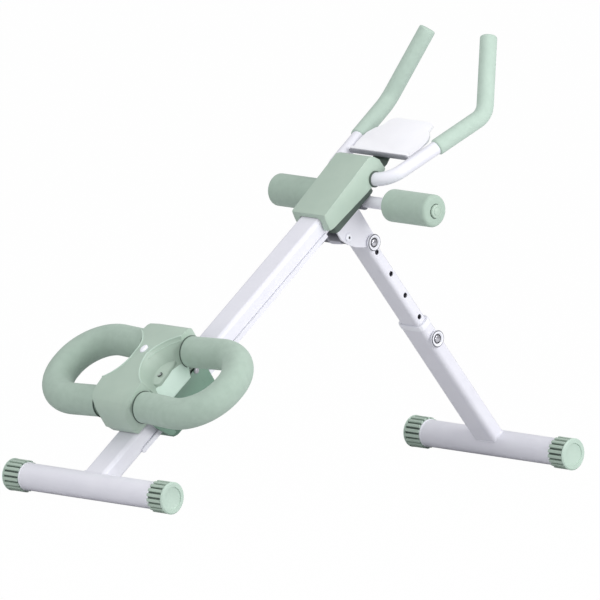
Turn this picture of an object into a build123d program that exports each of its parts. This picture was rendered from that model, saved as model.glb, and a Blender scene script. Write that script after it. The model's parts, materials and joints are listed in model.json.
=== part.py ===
from build123d import *
import os
from math import cos, radians, sin

os.makedirs("parts", exist_ok=True)

# Overall layout, mm and degrees. +Z up, Y along the machine, X across it.
RAIL_SLOPE = 38.1        # slanted rail above the floor
LEG_SLOPE = 47.85        # rear leg above the floor
FOOT_HEIGHT = 30.0       # foot axis above the floor, also the cap's radius
FOOT_WIDTH = 410.0       # over the caps
FIT = 0.2                # running clearance between moving hard parts
SOFT_GAP = 0.5           # clearance between foam and a part it moves past

# Feet
FOOT_TUBE_R = 25.0
FOOT_WALL = 2.0
CAP_LENGTH = 39.0
CAP_END = 4.0
CAP_GROOVES = 18

# Rail
RAIL_W = 52.0
RAIL_H = 38.0
RAIL_R = 8.0
RAIL_WALL = 2.0
RAIL_END = 862.0
STRIP_OUT = 3.5
STRIP_H = 9.0
STRIP_START = 117.5
STRIP_END = 700.0

# Carriage, along the rail at rest
CARRIAGE_START = 186.0
CARRIAGE_END = 316.0
CARRIAGE_TOP = 35.5
CARRIAGE_BOTTOM = -44.0
CARRIAGE_WALL = 4.0
CARRIAGE_SIDE = 11.5     # track strip to the carriage's inner wall
CARRIAGE_W = RAIL_W + 2 * (STRIP_OUT + CARRIAGE_SIDE + CARRIAGE_WALL)
CARRIAGE_TRAVEL = 380.0
RAIL_CLEAR = 1.5
ROLLER_R = 6.0
ROLLER_PLAY = 0.5        # roller's end play in the carriage
ROLLER_S = (211.0, 292.0)
AXLE_R = 3.0

# Seat, on a swivel stud square to the rail
SWIVEL_S = 228.0
STUD_R = 7.0
WASHER_T = 2.8
PLATE_T = 4.0
LOOP_S = 223.0           # middle of the knee loops
LOOP_P = 66.0            # loop tubes above the rail axis
ARM_S = 75.0             # arms from the middle of the loops
ARM_OUT = 206.0          # loop's outermost centreline point
LOOP_TUBE_R = 12.5
LOOP_FOAM_R = 28.75
FOAM_START = 49.5
HOUSING_HALF = 50.0
SKIRT_HALF = 61.0
HOUSING_WALL = 3.0
SPINE_TOP = 113.5        # housing's ridge above the rail axis
SPINE_LOW = 37.5         # housing's lower edge, just clear of the carriage
NOSE_LOW = 21.0          # front skirt reaches lower, over the bare rail
WAIST = 15.0             # half the ridge's width between the dished flanks
DISH_S = 233.0
DISH_R = 78.0            # dish at the ridge; it narrows downwards
DISH_LEAN = 0.28
RAMP_X = 25.0            # flat lower part of the dish, from here ...
RAMP_P = 78.0            # ... at this height, down to the skirt's edge
BUTTON_S = 246.0

# Head: handlebar, cover, tray, foot rollers
HANDLE_S = 843.0
HANDLE_P = -4.5
HANDLE_R = 12.7
HANDLE_WALL = 2.0
HANDLE_CORNER_X = 75.5
HANDLE_BEND = (124.0, 1070.0, -39.8)
HANDLE_TIP = (79.0, 1192.0, 31.7)
GRIP_R = 15.8
GRIP_SHARE = 0.5         # where the grip starts between corner and bend
COVER_WALL = 3.0
COVER_SIDE = 16.0        # cover's inner face beside the rail
COVER_W = RAIL_W + 2 * (COVER_SIDE + COVER_WALL)
COVER_START = 700.0
COVER_END = 880.0
BAR_S = 815.0
BAR_P = -37.0
BAR_R = 11.0
FOOT_ROLL_R = 30.0
FOOT_ROLL_IN = 88.0
FOOT_ROLL_OUT = 201.5
HUB_WALL = 2.5
TRAY_AT = (909.0, -7.5)
TRAY_TILT = -6.2
TRAY_T = 4.0
TRAY_LIP = 10.0

# Fold bracket and rear leg
PIVOT_S = 737.4
PIVOT_P = -54.9
EAR_T = 4.0
BOLT_R = 5.0
LEG_OFFSET = 37.8        # leg axis behind the pivot
LEG_TOP = 27.0
EAR_PLAY = 1.0           # leg tube clear of each ear
INNER_W = RAIL_W - 2 * EAR_PLAY
INNER_D = 25.0
LEG_WALL = 1.8
BUSH_SIDE = 3.2          # guide bush between the two leg tubes
BUSH_FACE = 0.7
OUTER_W = INNER_W + 2 * (BUSH_SIDE + LEG_WALL)
OUTER_D = INNER_D + 2 * (BUSH_FACE + LEG_WALL)
HOLE_STEP = 57.1
FIRST_HOLE = 78.9
LOCK_DROP = 52.0         # fold lock pin below the pivot, along the leg
PIN_R = 4.8
PIN_BORE = PIN_R + 0.25
KNOB_R = 16.0
KNOB_GAP = 1.0
OUTER_TOP = 267.5        # outer tube's top below the pivot
INNER_BOTTOM = 385.0

LEG_RISE = PIVOT_S * sin(radians(RAIL_SLOPE)) + PIVOT_P * cos(radians(RAIL_SLOPE))
LEG_LENGTH = (LEG_RISE + LEG_OFFSET * cos(radians(LEG_SLOPE))) / sin(radians(LEG_SLOPE))
PIVOT_Y = PIVOT_S * cos(radians(RAIL_SLOPE)) - PIVOT_P * sin(radians(RAIL_SLOPE))
SPAN = PIVOT_Y + LEG_OFFSET * sin(radians(LEG_SLOPE)) + LEG_LENGTH * cos(radians(LEG_SLOPE))

# Frames: every part is drawn level in one of these and then put in place.
FRONT = Pos(0, -SPAN / 2, FOOT_HEIGHT)
REAR = Pos(0, SPAN / 2, FOOT_HEIGHT)
RAIL = FRONT * Rot(RAIL_SLOPE, 0, 0)
LEG = RAIL * Pos(0, PIVOT_S, PIVOT_P) * Rot(90 - RAIL_SLOPE - LEG_SLOPE, 0, 0)


def write(name, shape, frame):
    export_step(frame * shape, "parts/" + name + ".step")


def write_pair(name, shape, frame):
    write(name + "_right", shape, frame)
    write(name + "_left", mirror(shape, about=Plane.YZ), frame)


def block(x0, x1, y0, y1, z0, z1):
    return Pos((x0 + x1) / 2, (y0 + y1) / 2, (z0 + z1) / 2) * Box(x1 - x0, y1 - y0, z1 - z0)


def rod_x(radius, x0, x1, y=0, z=0):
    return Pos((x0 + x1) / 2, y, z) * Rot(0, 90, 0) * Cylinder(radius, x1 - x0)


def rod_z(radius, z0, z1, x=0, y=0):
    return Pos(x, y, (z0 + z1) / 2) * Cylinder(radius, z1 - z0)


def along(section, y0, y1):
    """Section in X and Z, carried along Y."""
    return extrude(Plane((0, y0, 0), x_dir=(-1, 0, 0), z_dir=(0, 1, 0)) * section, y1 - y0)


def upright(section, z0, z1):
    """Section in X and Y, carried up Z."""
    return extrude(Plane((0, 0, z0)) * section, z1 - z0)


def side_face(points, radius=0):
    face = make_face(Polyline(*points, close=True))
    return fillet(face.vertices(), radius) if radius else face


def side(points, x0, x1, radius=0):
    """Outline in Y and Z, carried across X."""
    return extrude(Plane.YZ.offset(x0) * side_face(points, radius), x1 - x0)


def prism_x(radius, x0, x1, y=0, z=0, sides=24):
    """Rod across X with flat sides, for small, soft or hidden pieces."""
    section = Pos(y, z) * RegularPolygon(radius, sides)
    return extrude(Plane.YZ.offset(x0) * section, x1 - x0)


def prism_z(radius, z0, z1, x=0, y=0, sides=24):
    return upright(Pos(x, y) * RegularPolygon(radius, sides), z0, z1)


def around(radius, sides):
    """Corner radius of a polygon whose flats stay clear of a round rod of this radius."""
    return radius / cos(radians(180 / sides))


def soft_rectangle(width, height, radius, steps=3):
    """Rectangle whose rounded corners are a few short chords."""
    points = []
    for quarter, (x, y) in enumerate(((1, 1), (-1, 1), (-1, -1), (1, -1))):
        for i in range(steps + 1):
            angle = radians(90 * quarter + 90 * i / steps)
            points.append((x * (width / 2 - radius) + radius * cos(angle),
                           y * (height / 2 - radius) + radius * sin(angle)))
    return make_face(Polyline(*points, close=True))


def oval(across, lengthways, sides=20):
    angles = [radians(360 * i / sides) for i in range(sides)]
    return make_face(Polyline(*[(across * cos(a), lengthways * sin(a)) for a in angles], close=True))


def chords(path, reach):
    """Path with each arc as a few straight chords of about the given length."""
    points = [path @ 0]
    for edge in path.edges():
        count = 1 if edge.geom_type == GeomType.LINE else max(1, round(edge.length / reach))
        ends = (edge @ 0, edge @ 1)
        forward = (ends[0] - points[-1]).length < (ends[1] - points[-1]).length
        for i in range(1, count + 1):
            points.append(edge @ (i / count if forward else 1 - i / count))
    return Polyline(*points)


def mitred(path, radius, sides, reach):
    """Flat-sided rod along straight runs with mitred corners."""
    line = chords(path, reach)
    section = Plane(origin=line @ 0, z_dir=line % 0) * RegularPolygon(radius, sides)
    return sweep(section, path=line, transition=Transition.RIGHT)


# ---------------------------------------------------------------- feet

def foot_tube():
    half = FOOT_WIDTH / 2 - CAP_END
    return rod_x(FOOT_TUBE_R, -half, half) - prism_x(FOOT_TUBE_R - FOOT_WALL, -half, half, sides=16)


def foot_cap():
    """Push-on cap: a ring of grip grooves, a plain outer rim and a recessed end face."""
    end, start = FOOT_WIDTH / 2, FOOT_WIDTH / 2 - CAP_LENGTH
    rim = RegularPolygon(FOOT_HEIGHT, CAP_GROOVES)
    band = rim
    for i in range(CAP_GROOVES):
        notch = Pos(FOOT_HEIGHT, 0) * Rectangle(3.6, 4.4)
        band -= Rot(0, 0, 360 * i / CAP_GROOVES) * notch
    cap = extrude(Plane.YZ.offset(start) * band, CAP_LENGTH - 6)
    cap += extrude(Plane.YZ.offset(end - 6) * rim, 6)
    cap -= prism_x(FOOT_HEIGHT - 9.5, end - 2.5, end + 1, sides=CAP_GROOVES)
    return cap - prism_x(around(FOOT_TUBE_R, CAP_GROOVES), start - 1, end - CAP_END, sides=CAP_GROOVES)


def write_feet():
    for name, frame in (("front", FRONT), ("rear", REAR)):
        write(name + "_foot_tube", foot_tube(), frame)
        write_pair(name + "_foot_cap", foot_cap(), frame)


# ---------------------------------------------------------------- rail

def main_rail():
    rail = along(RectangleRounded(RAIL_W, RAIL_H, RAIL_R), 0, RAIL_END)
    bore = RectangleRounded(RAIL_W - 2 * RAIL_WALL, RAIL_H - 2 * RAIL_WALL, RAIL_R - RAIL_WALL)
    rail -= along(bore, 0, RAIL_END)
    rail -= rod_x(FOOT_TUBE_R, -RAIL_W, RAIL_W)
    return rail - rod_x(HANDLE_R, -RAIL_W, RAIL_W, HANDLE_S, HANDLE_P)


def track_strip():
    x = RAIL_W / 2
    mid = -RAIL_H / 2 + STRIP_H / 2
    strip = block(x, x + STRIP_OUT, STRIP_START, STRIP_END, mid - STRIP_H / 2, mid + STRIP_H / 2)
    strip += rod_x(STRIP_H / 2, x, x + STRIP_OUT, STRIP_START, mid)
    sides = rod_x(RAIL_R, 0, x, 0, 0)
    return strip - sides


def lower_stop():
    """Low plate under the rail, below the seat's nose; carries the lower buffer."""
    base = CARRIAGE_START - 11
    return block(-20, 8, base, base + 4, -RAIL_H / 2 - 9, -RAIL_H / 2)


def lower_buffer():
    base = CARRIAGE_START - 11
    return block(-18, 6, base + 4, CARRIAGE_START - FIT, -RAIL_H / 2 - 9, -RAIL_H / 2 - 1)


def upper_stop(start):
    """Angle under the rail whose upright holds the upper buffer."""
    low = -RAIL_H / 2
    return side([
        (start, low - 22), (start + 4, low - 22), (start + 4, low - 3),
        (start + 7.5, low - 3), (start + 7.5, low), (start, low),
    ], -14, 14)


def buffer(s0, s1):
    return along(Pos(0, -RAIL_H / 2 - 12) * RegularPolygon(9, 16), s0, s1)


def write_rail():
    write("main_rail", main_rail(), RAIL)
    write_pair("track_strip", track_strip(), RAIL)
    high = CARRIAGE_END + CARRIAGE_TRAVEL
    write("lower_stop_lug", lower_stop(), RAIL)
    write("lower_buffer", lower_buffer(), RAIL)
    write("upper_stop_lug", upper_stop(high + 10), RAIL)
    write("upper_buffer", buffer(high + FIT, high + 10), RAIL)


# ---------------------------------------------------------------- carriage

def chassis_shape(inset, corner_r, steps):
    """Carriage box or its hollow: rounded section, cut-off front corners, sloped rear end."""
    top = CARRIAGE_TOP - min(inset, 3)
    low = CARRIAGE_BOTTOM + inset
    section = soft_rectangle(CARRIAGE_W - 2 * inset, top - low, corner_r, steps)
    body = along(Pos(0, (top + low) / 2) * section, CARRIAGE_START + inset, CARRIAGE_END - inset)
    corner = CARRIAGE_END - inset
    body -= side([(corner - 18, 60), (corner, 10 - inset / 2), (corner + 9, 10), (corner + 9, 60)],
                 -60, 60)
    half, front = CARRIAGE_W / 2 - inset, CARRIAGE_START + inset
    plan = make_face(Polyline((-half, 400), (-half, front + 12), (-half + 14, front), (half - 14, front),
                              (half, front + 12), (half, 400), close=True))
    return body & upright(plan, low - 10, top + 10)


def carriage_chassis():
    chassis = chassis_shape(0, 12, 4) - chassis_shape(CARRIAGE_WALL, 1, 1)
    reach = RAIL_W + 2 * STRIP_OUT + 2 * RAIL_CLEAR
    passage = Rectangle(reach, RAIL_H + 2 * RAIL_CLEAR)
    chassis -= along(passage, CARRIAGE_START - 1, CARRIAGE_END + 1)
    for s in ROLLER_S:
        for p in (-AXLE_P, AXLE_P):
            chassis -= prism_x(around(AXLE_R, 12), -60, 60, s, p, 12)
    return chassis - rod_z(STUD_R, 20, 60, 0, SWIVEL_S)


AXLE_P = RAIL_H / 2 + FIT + ROLLER_R


def axle():
    """Plain pin riveted over on the outside of both walls."""
    wall = CARRIAGE_W / 2
    pin = rod_x(AXLE_R, -wall, wall)
    return pin + prism_x(5, -wall - 2, -wall, sides=12) + prism_x(5, wall, wall + 2, sides=12)


def roller():
    """Plastic sleeve as wide as the carriage's inside, turning on its pin."""
    half = CARRIAGE_W / 2 - CARRIAGE_WALL - ROLLER_PLAY
    return prism_x(ROLLER_R, -half, half) - rod_x(AXLE_R + 0.15, -half - 1, half + 1)


def swivel_stud():
    deck = CARRIAGE_TOP - 3
    plate_top = CARRIAGE_TOP + WASHER_T + FIT + PLATE_T
    stud = rod_z(STUD_R, deck, plate_top + 11)
    return Pos(0, SWIVEL_S, 0) * (stud + prism_z(10, deck - 5, deck, sides=12))


def swivel_nut():
    base = CARRIAGE_TOP + WASHER_T + 2 * FIT + PLATE_T
    nut = prism_z(14, base, base + 10, sides=6)
    return Pos(0, SWIVEL_S, 0) * (nut - prism_z(around(STUD_R, 12), base - 1, base + 11, sides=12))


def swivel_washer():
    ring = prism_z(20, CARRIAGE_TOP, CARRIAGE_TOP + WASHER_T)
    return Pos(0, SWIVEL_S, 0) * (ring - prism_z(around(STUD_R, 12), 30, 50, sides=12))


def write_carriage():
    write("carriage_chassis", carriage_chassis(), RAIL)
    names = (("lower", "under"), ("upper", "under"), ("lower", "top"), ("upper", "top"))
    spots = [(s, p) for p in (-AXLE_P, AXLE_P) for s in ROLLER_S]
    for (end, face), (s, p) in zip(names, spots):
        write("axle_" + face + "_" + end, Pos(0, s, p) * axle(), RAIL)
        write("rail_roller_" + face + "_" + end, Pos(0, s, p) * roller(), RAIL)
    write("swivel_stud", swivel_stud(), RAIL)
    write("swivel_nut", swivel_nut(), RAIL)
    write("swivel_washer", swivel_washer(), RAIL)


# ---------------------------------------------------------------- seat

PLATE_P = CARRIAGE_TOP + WASHER_T + FIT


def seat_bracket():
    """Base plate with four upright tabs that carry the loop tubes."""
    plate = upright(Pos(0, LOOP_S) * soft_rectangle(78, 2 * ARM_S + 26, 8, 1), PLATE_P, PLATE_P + PLATE_T)
    plate -= rod_z(STUD_R + FIT, 30, 60, 0, SWIVEL_S)
    for y in (LOOP_S - ARM_S, LOOP_S + ARM_S):
        for x in (-37, 33):
            plate += side([(y - 14, PLATE_P + PLATE_T), (y + 14, PLATE_P + PLATE_T), (y + 14, LOOP_P + 6),
                           (y + 6, LOOP_P + 14), (y - 6, LOOP_P + 14), (y - 14, LOOP_P + 6)], x, x + 4)
    tube = loop_rod()
    return plate - tube - mirror(tube, about=Plane.YZ)


def housing_plan(inset):
    """Spine seen square to the rail: collars at both ends, wider skirt between the arms."""
    half, skirt = HOUSING_HALF - inset, SKIRT_HALF - inset
    reach = ARM_S - LOOP_FOAM_R - SOFT_GAP - 2 - inset
    low, high = LOOP_S - reach, LOOP_S + reach
    front, rear = LOOP_S - ARM_S, LOOP_S + ARM_S
    right = [
        (31 - inset, front - 38 + inset), (half - 6, front - 27 + inset), (half, front - 12),
        (half, low - 1), (skirt, low + 5), (skirt, high - 5), (half, high + 1), (half, rear + 14),
        (half - 10, rear + 36 - inset),
    ]
    left = [(-x, y) for x, y in reversed(right)]
    return make_face(Polyline(*right, *left, close=True))


def spine_outline(inset):
    """Housing seen from the side: blunt front, long low arch, short tail."""
    front, rear = LOOP_S - ARM_S, LOOP_S + ARM_S
    top = SPINE_TOP - inset
    return side([
        (front - 34 + inset, SPINE_LOW), (front - 36 + inset, 68), (front - 28 + inset, 92 - inset),
        (front - 8 + inset, top - 10.5), (front + 42, top - 4.5), (DISH_S + 2, top),
        (rear - 18, top - 4.5), (rear + 20 - inset, top - 9.5), (rear + 33 - inset, 92 - inset),
        (rear + 33 - inset, 50), (rear + 24 - inset, SPINE_LOW),
    ], -70, 70)


def dish_tool(grow):
    """Scoop in a flank: a cone leaning outwards, stopped by a flat ramp down to the skirt."""
    centre = WAIST + DISH_R
    low, high = SPINE_LOW - 1, SPINE_TOP + 16
    wide = [DISH_R + grow - DISH_LEAN * (SPINE_TOP - p) for p in (low, high)]
    scoop = Pos(centre, DISH_S, (low + high) / 2) * Cone(wide[0], wide[1], high - low)
    foot = SKIRT_HALF - 0.75 * grow
    room = Plane.XZ.offset(-400) * make_face(Polyline(
        (foot, SPINE_LOW + 1.5 - 0.66 * grow), (centre + DISH_R, SPINE_LOW + 1.5 - 0.66 * grow),
        (centre + DISH_R, high + 1), (-40, high + 1), (-40, RAMP_P),
        (RAMP_X - 0.75 * grow, RAMP_P - 0.66 * grow), close=True))
    return scoop & extrude(room, 400)


def both(shape):
    return shape + mirror(shape, about=Plane.YZ)


def housing_room():
    """Hollow inside the spine."""
    room = spine_outline(HOUSING_WALL) & upright(housing_plan(HOUSING_WALL), 30, 130)
    return room - both(dish_tool(HOUSING_WALL))


def seat_housing():
    shell = spine_outline(0) & upright(housing_plan(0), 30, 130)
    shell -= both(dish_tool(0))
    shell -= housing_room()
    for y in (LOOP_S - ARM_S, LOOP_S + ARM_S):
        shell -= both(prism_x(around(LOOP_FOAM_R + SOFT_GAP, 32), FOAM_START - SOFT_GAP, 80, y, LOOP_P, 32))
    for y in (SWIVEL_S - 40, SWIVEL_S + 40):
        shell += both(prism_z(5, PLATE_P + PLATE_T, SPINE_TOP - 6, 8, y, 8))
    tube = loop_rod()
    shell -= tube + mirror(tube, about=Plane.YZ)
    return shell - upright(Pos(0, BUTTON_S) * oval(6.6, 9.9), 80, 130)


def housing_nose():
    """Front skirt under the spine, open below over the rail."""
    front = LOOP_S - ARM_S
    nose = side([(front - 34, SPINE_LOW), (front - 27, NOSE_LOW + 2), (front - 24, NOSE_LOW),
                 (front + 24, NOSE_LOW), (front + 24, SPINE_LOW)], -31, 31)
    return nose - block(-28, 28, front - 24, front + 20, 0, 60)


def swivel_button():
    crown = upright(oval(6.2, 9.5), 98, 115.5)
    return Pos(0, BUTTON_S) * (crown + upright(oval(9.2, 12.5), 98, 103))


def loop_path(start):
    """Straight arms that flare a little, joined by a round bow."""
    far, flare = ARM_OUT, ARM_S + 9
    return FilletPolyline(
        (start, ARM_S), (60, ARM_S), (far, flare), (far, -flare), (60, -ARM_S), (start, -ARM_S),
        radius=[60, 76, 76, 60],
    )


def at_loop(shape):
    return Pos(0, LOOP_S, LOOP_P) * shape


def loop_rod():
    """Outside of the tube that carries a knee loop."""
    return at_loop(mitred(loop_path(28), LOOP_TUBE_R, 8, 22))


def loop_tube():
    return loop_rod() - at_loop(mitred(loop_path(28), LOOP_TUBE_R - 2.5, 4, 22))


def knee_foam():
    foam = at_loop(mitred(loop_path(FOAM_START), around(LOOP_FOAM_R, 14) - 0.4, 14, 22))
    return foam - loop_rod()


def write_seat():
    write("seat_bracket", seat_bracket(), RAIL)
    write("seat_housing", Compound(children=[seat_housing(), housing_nose()]), RAIL)
    write("swivel_button", swivel_button(), RAIL)
    write_pair("loop_tube", loop_tube(), RAIL)
    write_pair("knee_foam", knee_foam(), RAIL)


# ---------------------------------------------------------------- head

def handle_path():
    corner = (HANDLE_CORNER_X, HANDLE_S, HANDLE_P)
    return FilletPolyline((0, HANDLE_S, HANDLE_P), corner, HANDLE_BEND, HANDLE_TIP, radius=42)


def handle_rod(radius, sides=12):
    return mitred(handle_path(), radius, sides, 14)


def handlebar():
    half = handle_rod(HANDLE_R) - handle_rod(HANDLE_R - HANDLE_WALL, 6)
    return half + mirror(half, about=Plane.YZ)


def grip():
    corner = Vector(HANDLE_CORNER_X, HANDLE_S, HANDLE_P)
    bend, tip = Vector(*HANDLE_BEND), Vector(*HANDLE_TIP)
    start = corner + (bend - corner) * GRIP_SHARE
    beyond = tip + (tip - bend).normalized() * 5
    foam = mitred(FilletPolyline(start, bend, beyond, radius=42), GRIP_R, 12, 14)
    return foam - handle_rod(HANDLE_R)


def cover_shape(inset, bottom):
    """Cover's outer form, or the room inside it, drawn in by the wall and open below."""
    start, end = COVER_START + inset, COVER_END - inset
    outline = side([
        (start, bottom), (start, -4.5), (start + 7, 28 - inset), (end - 24 + inset, 36.5 - inset),
        (end - 15, 31 - inset), (end - 3, 12), (end, -9), (end, bottom),
    ], -COVER_W, COVER_W)
    long = COVER_END - COVER_START
    plan = Pos(0, COVER_START + long / 2) * soft_rectangle(COVER_W - 2 * inset, long - 2 * inset, 10 - inset, 2)
    return outline & extrude(Plane((0, 0, -24)) * plan, 70, taper=3)


def head_cover():
    cover = cover_shape(0, -20) - cover_shape(COVER_WALL, -22)
    start, end = COVER_START - 10, COVER_END + 10
    cover -= side([(start, -4.5), (start + 124, -11.5), (end, -8.5), (end, -40), (start, -40)],
                  -COVER_W, COVER_W)
    cover -= along(RectangleRounded(RAIL_W + 2.4, RAIL_H + 2.4, RAIL_R + 1), start, COVER_START + 12)
    for y, top in ((COVER_START + 35, 28), (COVER_START + 105, 32)):
        cover += block(-18, 18, y - 1.5, y + 1.5, RAIL_H / 2, top)
    return cover - prism_x(around(HANDLE_R + 2, 20), -60, 60, HANDLE_S, HANDLE_P, 20)


def cover_base():
    """Inner skirt under the cover's sides, closed across the rail's underside in front."""
    width, start, end = COVER_W - 12, COVER_START + 14, COVER_END - 46
    plan = Pos(0, (start + end) / 2) * soft_rectangle(width, end - start, 8, 2)
    ears = RAIL_W / 2 + EAR_T + 1
    skirt = upright(plan, -24, -6) - block(-ears, ears, start + 6, end + 20, -30, 0)
    skirt -= along(RectangleRounded(RAIL_W, RAIL_H, RAIL_R), start - 10, end + 10)
    return skirt - prism_x(around(HANDLE_R + 1.5, 20), -60, 60, HANDLE_S, HANDLE_P, 20)


def foot_bar():
    reach = FOOT_ROLL_OUT + 2
    bar = rod_x(BAR_R, -reach, reach)
    for x in (-FOOT_ROLL_IN + FIT, FOOT_ROLL_IN - FIT - 3):
        bar += prism_x(BAR_R + 3, x, x + 3, sides=16)
    return Pos(0, BAR_S, BAR_P) * (bar - prism_x(BAR_R - 1.8, -reach, reach, sides=12))


def bar_plug():
    """Round-headed plug in the bar's end, which keeps the foot roller on."""
    end = FOOT_ROLL_OUT + 2
    plug = prism_x(BAR_R - 1.8, end - 20, end, sides=12) + prism_x(12.5, end, end + 2)
    return Pos(0, BAR_S, BAR_P) * (plug + prism_x(11, end + 2, end + 3.5))


def roll_hub():
    hub = prism_x(BAR_R + FIT + HUB_WALL, FOOT_ROLL_IN, FOOT_ROLL_OUT)
    return Pos(0, BAR_S, BAR_P) * (hub - rod_x(BAR_R + FIT, FOOT_ROLL_IN - 1, FOOT_ROLL_OUT + 1))


def roll_foam():
    foam = prism_x(around(FOOT_ROLL_R, 24) - 0.2, FOOT_ROLL_IN, FOOT_ROLL_OUT)
    ends = foam.faces().sort_by(Axis.X)
    foam = chamfer(ends[0].edges() + ends[-1].edges(), 5)
    bore = prism_x(BAR_R + FIT + HUB_WALL, FOOT_ROLL_IN - 1, FOOT_ROLL_OUT + 1)
    return Pos(0, BAR_S, BAR_P) * (foam - bore)


def bar_saddle():
    saddle = side([
        (801, -RAIL_H / 2), (833, -RAIL_H / 2), (831, BAR_P - 6), (824, BAR_P - 14),
        (806, BAR_P - 14), (801, BAR_P - 6),
    ], -23, 23)
    saddle = chamfer(saddle.edges().filter_by(Axis.X).sort_by(Axis.Z)[:4], 2.5)
    return saddle - rod_x(BAR_R, -40, 40, BAR_S, BAR_P)


def tray_frame():
    s, p = TRAY_AT
    return Pos(0, s, p) * Rot(TRAY_TILT, 0, 0)


def phone_tray():
    outline = [(73, 0), (78, 30), (78, 55), (70, 70), (58, 82), (55, 99), (42, 106)]
    left = [(-x, y) for x, y in reversed(outline)]
    plate = fillet(make_face(Polyline(*outline, *left, close=True)).vertices(), 6)
    tray = upright(plate, -TRAY_T, 0)
    lip = upright(Pos(0, 3) * RectangleRounded(148, 6, 2.9), -TRAY_T, TRAY_LIP - TRAY_T)
    return tray_frame() * (tray + lip)


def tray_bracket():
    under = -RAIL_H / 2
    t = 3.0
    return side([
        (838, under), (898, under), (919, -13.1), (985, -20.3), (985, -20.3 - t), (918, -13.1 - t - 0.1),
        (899, under - t), (838, under - t),
    ], -20, 20)


def write_head():
    write("handlebar", handlebar(), RAIL)
    write_pair("grip_foam", grip(), RAIL)
    write("head_cover", head_cover(), RAIL)
    write("cover_base", cover_base(), RAIL)
    write("foot_bar", foot_bar(), RAIL)
    write_pair("bar_plug", bar_plug(), RAIL)
    write_pair("roll_hub", roll_hub(), RAIL)
    write_pair("roll_foam", roll_foam(), RAIL)
    write("bar_saddle", bar_saddle(), RAIL)
    write("phone_tray", phone_tray(), RAIL)
    write("tray_bracket", tray_bracket(), RAIL)


# ---------------------------------------------------------------- fold bracket and leg

def fold_ear():
    """Welded plate beside the rail, seen from the side as a rounded gusset."""
    x = RAIL_W / 2
    plate = side([
        (722, 11), (722, -48), (730, -66), (742, -83), (757, -97), (775, -108), (791, -108),
        (790, -60), (788, 11),
    ], x, x + EAR_T)
    plate = fillet(plate.edges().filter_by(Axis.X).sort_by(Axis.Z)[:2], 9)
    plate -= rod_x(BOLT_R, 0, 60, PIVOT_S, PIVOT_P)
    return plate


def lock_spot(drop):
    """Place on the leg axis, the given distance below the pivot."""
    return Pos(0, LEG_OFFSET, -drop)


def write_ears():
    ear = fold_ear()
    bore = RAIL.inverse() * (LEG * (lock_spot(LOCK_DROP) * prism_x(PIN_BORE, 0, 60, sides=16)))
    write("fold_ear_right", ear - bore, RAIL)
    write("fold_ear_left", mirror(ear, about=Plane.YZ), RAIL)


def pivot_bolt():
    outer = RAIL_W / 2 + EAR_T
    bolt = rod_x(BOLT_R, -outer - 10, outer)
    return bolt + prism_x(8, outer, outer + 1.5, sides=16) + prism_x(6, outer, outer + 4, sides=16)


def pivot_nut():
    outer = RAIL_W / 2 + EAR_T
    nut = prism_x(8.5, -outer - 8, -outer, sides=6)
    return nut - prism_x(around(BOLT_R, 12), -60, 0, sides=12)


def pivot_knuckle():
    """Cross bush between two lugs welded to the leg's front face."""
    half, face = INNER_W / 2 - 2, LEG_OFFSET - INNER_D / 2
    knuckle = prism_x(10, -half, half)
    for x in (-half, half - 5):
        knuckle += side([(-8, -10), (0, -12), (face, -24), (face, 12), (0, 12), (-8, 10), (-12, 4), (-12, -4)],
                        x, x + 5)
    return knuckle - rod_x(BOLT_R + 0.15, -half - 5, half + 5)


def leg_tube(width, depth, radius, z0, z1):
    outer = upright(RectangleRounded(width, depth, radius), z0, z1)
    inner = soft_rectangle(width - 2 * LEG_WALL, depth - 2 * LEG_WALL, radius - LEG_WALL)
    return Pos(0, LEG_OFFSET, 0) * (outer - upright(inner, z0, z1))


def upper_leg():
    tube = leg_tube(INNER_W, INNER_D, 8, -INNER_BOTTOM, LEG_TOP)
    drops = [FIRST_HOLE + HOLE_STEP * i for i in range(5)] + [LOCK_DROP]
    for drop in drops:
        tube -= lock_spot(drop) * prism_x(5.1, 0, 40, sides=12)
    return tube


def lower_leg():
    tube = leg_tube(OUTER_W, OUTER_D, 10, -LEG_LENGTH, -OUTER_TOP)
    tube -= Pos(0, LEG_OFFSET, -LEG_LENGTH) * rod_x(FOOT_TUBE_R, -60, 60)
    return tube - lock_spot(FIRST_HOLE + 4 * HOLE_STEP) * prism_x(PIN_BORE, 0, 60, sides=16)


def leg_bush():
    """Plastic guide in the outer tube's mouth, its lip over the tube's end."""
    lip = upright(soft_rectangle(OUTER_W + 2, OUTER_D + 2, 11), -7, 4)
    lip -= upright(soft_rectangle(OUTER_W + 0.1, OUTER_D + 0.1, 9), -8, 0)
    sleeve = soft_rectangle(OUTER_W - 2 * LEG_WALL, OUTER_D - 2 * LEG_WALL, 10 - LEG_WALL)
    bush = lip + upright(sleeve, -25, 1)
    bush -= upright(soft_rectangle(INNER_W + 2 * FIT, INNER_D + 2 * FIT, 7), -30, 10)
    return Pos(0, LEG_OFFSET, -OUTER_TOP) * bush


def collar(face):
    ring = prism_x(9, face, face + KNOB_GAP - FIT, sides=16)
    return ring - prism_x(PIN_BORE, face - 1, face + KNOB_GAP, sides=16)


def pull_pin(face):
    """Spring pin with a dished round knob; its tip stops short of the tube it locks."""
    tip, base = INNER_W / 2 + 0.3, face + KNOB_GAP
    pin = prism_x(PIN_R, tip, base, sides=16)
    knob = prism_x(KNOB_R - 1.5, base, base + 6, sides=16) + prism_x(KNOB_R, base + 1.5, base + 4.5, sides=16)
    knob -= prism_x(KNOB_R - 6, base + 3, base + 7, sides=16)
    return pin + knob + prism_x(5, base + 2, base + 5, sides=8)


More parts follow.
